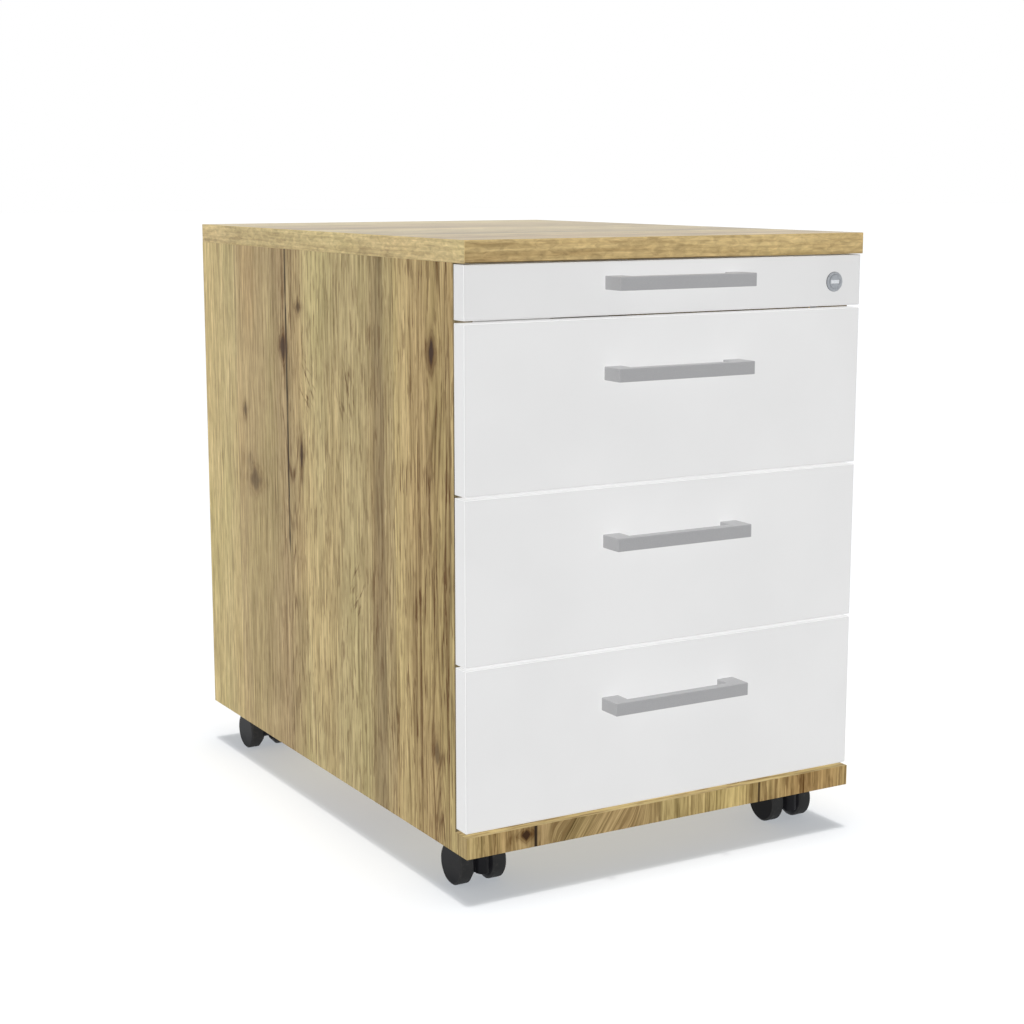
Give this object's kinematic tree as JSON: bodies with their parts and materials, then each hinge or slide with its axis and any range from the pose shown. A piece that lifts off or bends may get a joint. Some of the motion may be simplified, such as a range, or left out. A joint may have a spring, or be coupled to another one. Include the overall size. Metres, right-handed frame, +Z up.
{
  "type": "rolling pedestal cabinet",
  "caption": "Rolling under-desk pedestal cabinet in oak-effect laminate with white drawers, a shallow pencil drawer, grey bow handles, a central lock and twin-wheel castors.",
  "frame": {"origin": "on the floor, under the middle of the closed cabinet's outline, handles included", "axes": "+Z up, +X to the right as seen from the front, +Y from the drawer fronts to the back"},
  "size_m": [0.426, 0.6226, 0.582],
  "materials": {
    "oak_laminate": "satin oak-effect laminate",
    "white_front": "smooth white laminate",
    "white_board": "smooth white laminate",
    "white_steel": "white powder coat",
    "handle_grey": "satin silver grey",
    "lock_metal": "satin nickel",
    "lock_zinc": "zinc plated",
    "zinc_screw": "zinc plated",
    "beech_dowel": "raw fluted beech",
    "nylon": "moulded nylon",
    "tray_plastic": "textured moulding",
    "black_steel": "black",
    "castor_plastic": "satin moulded",
    "castor_tread": "satin moulded",
    "axle_steel": "plain"
  },
  "bodies": {
    "case": {"top_panel": "oak_laminate", "bottom_panel": "oak_laminate", "left_side_panel": "oak_laminate", "right_side_panel": "oak_laminate", "back_panel": "oak_laminate", "case_dowels": "beech_dowel", "case_screws": "zinc_screw", "case_runners": "white_steel", "tray_guides": "nylon", "castor_mounts": "black_steel"},
    "drawer_1": {"drawer_1_front": "white_front", "drawer_1_tray": "tray_plastic", "drawer_1_dividers": "tray_plastic", "drawer_1_handle": "handle_grey", "drawer_1_screws": "zinc_screw", "lock_housing": "lock_metal"},
    "drawer_2": {"drawer_2_front": "white_front", "drawer_2_left_side": "white_steel", "drawer_2_right_side": "white_steel", "drawer_2_back": "white_board", "drawer_2_base": "white_board", "drawer_2_handle": "handle_grey", "drawer_2_screws": "zinc_screw"},
    "drawer_3": {"drawer_3_front": "white_front", "drawer_3_left_side": "white_steel", "drawer_3_right_side": "white_steel", "drawer_3_back": "white_board", "drawer_3_base": "white_board", "drawer_3_handle": "handle_grey", "drawer_3_screws": "zinc_screw"},
    "drawer_4": {"drawer_4_front": "white_front", "drawer_4_left_side": "white_steel", "drawer_4_right_side": "white_steel", "drawer_4_back": "white_board", "drawer_4_base": "white_board", "drawer_4_handle": "handle_grey", "drawer_4_screws": "zinc_screw"},
    "lock_barrel": {"lock_cylinder": "lock_metal", "lock_cam": "lock_zinc"},
    "bar": {"locking_bar": "lock_zinc", "locking_bar_head": "lock_zinc"},
    "case_rollers_2": {"drawer_2_case_rollers": "nylon"},
    "rear_rollers_2": {"drawer_2_rear_rollers": "nylon"},
    "case_rollers_3": {"drawer_3_case_rollers": "nylon"},
    "rear_rollers_3": {"drawer_3_rear_rollers": "nylon"},
    "case_rollers_4": {"drawer_4_case_rollers": "nylon"},
    "rear_rollers_4": {"drawer_4_rear_rollers": "nylon"},
    "castor_front_left": {"castor_front_left_housing": "castor_plastic", "castor_front_left_axle": "axle_steel"},
    "wheels_front_left": {"castor_front_left_wheels": "castor_tread"},
    "castor_front_right": {"castor_front_right_housing": "castor_plastic", "castor_front_right_axle": "axle_steel"},
    "wheels_front_right": {"castor_front_right_wheels": "castor_tread"},
    "castor_rear_left": {"castor_rear_left_housing": "castor_plastic", "castor_rear_left_axle": "axle_steel"},
    "wheels_rear_left": {"castor_rear_left_wheels": "castor_tread"},
    "castor_rear_right": {"castor_rear_right_housing": "castor_plastic", "castor_rear_right_axle": "axle_steel"},
    "wheels_rear_right": {"castor_rear_right_wheels": "castor_tread"}
  },
  "joints": [
    {"name": "drawer_1_slide", "type": "slide", "parent": "case", "child": "drawer_1", "axis": [0, -1, 0], "range_m": [0, 0.3]},
    {"name": "drawer_2_slide", "type": "slide", "parent": "case", "child": "drawer_2", "axis": [0, -1, 0], "range_m": [0, 0.38]},
    {"name": "drawer_3_slide", "type": "slide", "parent": "case", "child": "drawer_3", "axis": [0, -1, 0], "range_m": [0, 0.38]},
    {"name": "drawer_4_slide", "type": "slide", "parent": "case", "child": "drawer_4", "axis": [0, -1, 0], "range_m": [0, 0.38]},
    {"name": "case_rollers_2_spin", "type": "hinge", "parent": "case", "child": "case_rollers_2", "pos_m": [0, -0.25175, 0.39], "axis": [1, 0, 0], "range_deg": [0, 1980]},
    {"name": "rear_rollers_2_spin", "type": "hinge", "parent": "drawer_2", "child": "rear_rollers_2", "pos_m": [0, 0.21175, 0.3898], "axis": [1, 0, 0], "range_deg": [0, 1980]},
    {"name": "case_rollers_3_spin", "type": "hinge", "parent": "case", "child": "case_rollers_3", "pos_m": [0, -0.25175, 0.2405], "axis": [1, 0, 0], "range_deg": [0, 1980]},
    {"name": "rear_rollers_3_spin", "type": "hinge", "parent": "drawer_3", "child": "rear_rollers_3", "pos_m": [0, 0.21175, 0.2403], "axis": [1, 0, 0], "range_deg": [0, 1980]},
    {"name": "case_rollers_4_spin", "type": "hinge", "parent": "case", "child": "case_rollers_4", "pos_m": [0, -0.25175, 0.091], "axis": [1, 0, 0], "range_deg": [0, 1980]},
    {"name": "rear_rollers_4_spin", "type": "hinge", "parent": "drawer_4", "child": "rear_rollers_4", "pos_m": [0, 0.21175, 0.0908], "axis": [1, 0, 0], "range_deg": [0, 1980]},
    {"name": "lock_turn", "type": "hinge", "parent": "drawer_1", "child": "lock_barrel", "pos_m": [0.1813, -0.28875, 0.5369], "axis": [0, 1, 0], "range_deg": [0, 90]},
    {"name": "bar_lift", "type": "slide", "parent": "case", "child": "bar", "axis": [0, 0, 1], "range_m": [0, 0.0085]},
    {"name": "castor_front_left_swivel", "type": "hinge", "parent": "case", "child": "castor_front_left", "pos_m": [-0.1754, -0.24825, 0.0335], "axis": [0, 0, 1], "continuous": true},
    {"name": "wheels_front_left_roll", "type": "hinge", "parent": "castor_front_left", "child": "wheels_front_left", "pos_m": [-0.1754, -0.23225, 0.02], "axis": [1, 0, 0], "continuous": true},
    {"name": "castor_front_right_swivel", "type": "hinge", "parent": "case", "child": "castor_front_right", "pos_m": [0.1754, -0.24825, 0.0335], "axis": [0, 0, 1], "continuous": true},
    {"name": "wheels_front_right_roll", "type": "hinge", "parent": "castor_front_right", "child": "wheels_front_right", "pos_m": [0.1754, -0.23225, 0.02], "axis": [1, 0, 0], "continuous": true},
    {"name": "castor_rear_left_swivel", "type": "hinge", "parent": "case", "child": "castor_rear_left", "pos_m": [-0.1754, 0.27225, 0.0335], "axis": [0, 0, 1], "continuous": true},
    {"name": "wheels_rear_left_roll", "type": "hinge", "parent": "castor_rear_left", "child": "wheels_rear_left", "pos_m": [-0.1754, 0.25625, 0.02], "axis": [1, 0, 0], "continuous": true},
    {"name": "castor_rear_right_swivel", "type": "hinge", "parent": "case", "child": "castor_rear_right", "pos_m": [0.1754, 0.27225, 0.0335], "axis": [0, 0, 1], "continuous": true},
    {"name": "wheels_rear_right_roll", "type": "hinge", "parent": "castor_rear_right", "child": "wheels_rear_right", "pos_m": [0.1754, 0.25625, 0.02], "axis": [1, 0, 0], "continuous": true}
  ],
  "couplings": [
    {"joint": "case_rollers_2_spin", "follows": "drawer_2_slide", "rad_per_m": 90.909},
    {"joint": "rear_rollers_2_spin", "follows": "drawer_2_slide", "rad_per_m": 90.909},
    {"joint": "case_rollers_3_spin", "follows": "drawer_3_slide", "rad_per_m": 90.909},
    {"joint": "rear_rollers_3_spin", "follows": "drawer_3_slide", "rad_per_m": 90.909},
    {"joint": "case_rollers_4_spin", "follows": "drawer_4_slide", "rad_per_m": 90.909},
    {"joint": "rear_rollers_4_spin", "follows": "drawer_4_slide", "rad_per_m": 90.909},
    {"joint": "bar_lift", "follows": "lock_turn", "m_per_rad": 0.0054019}
  ]
}
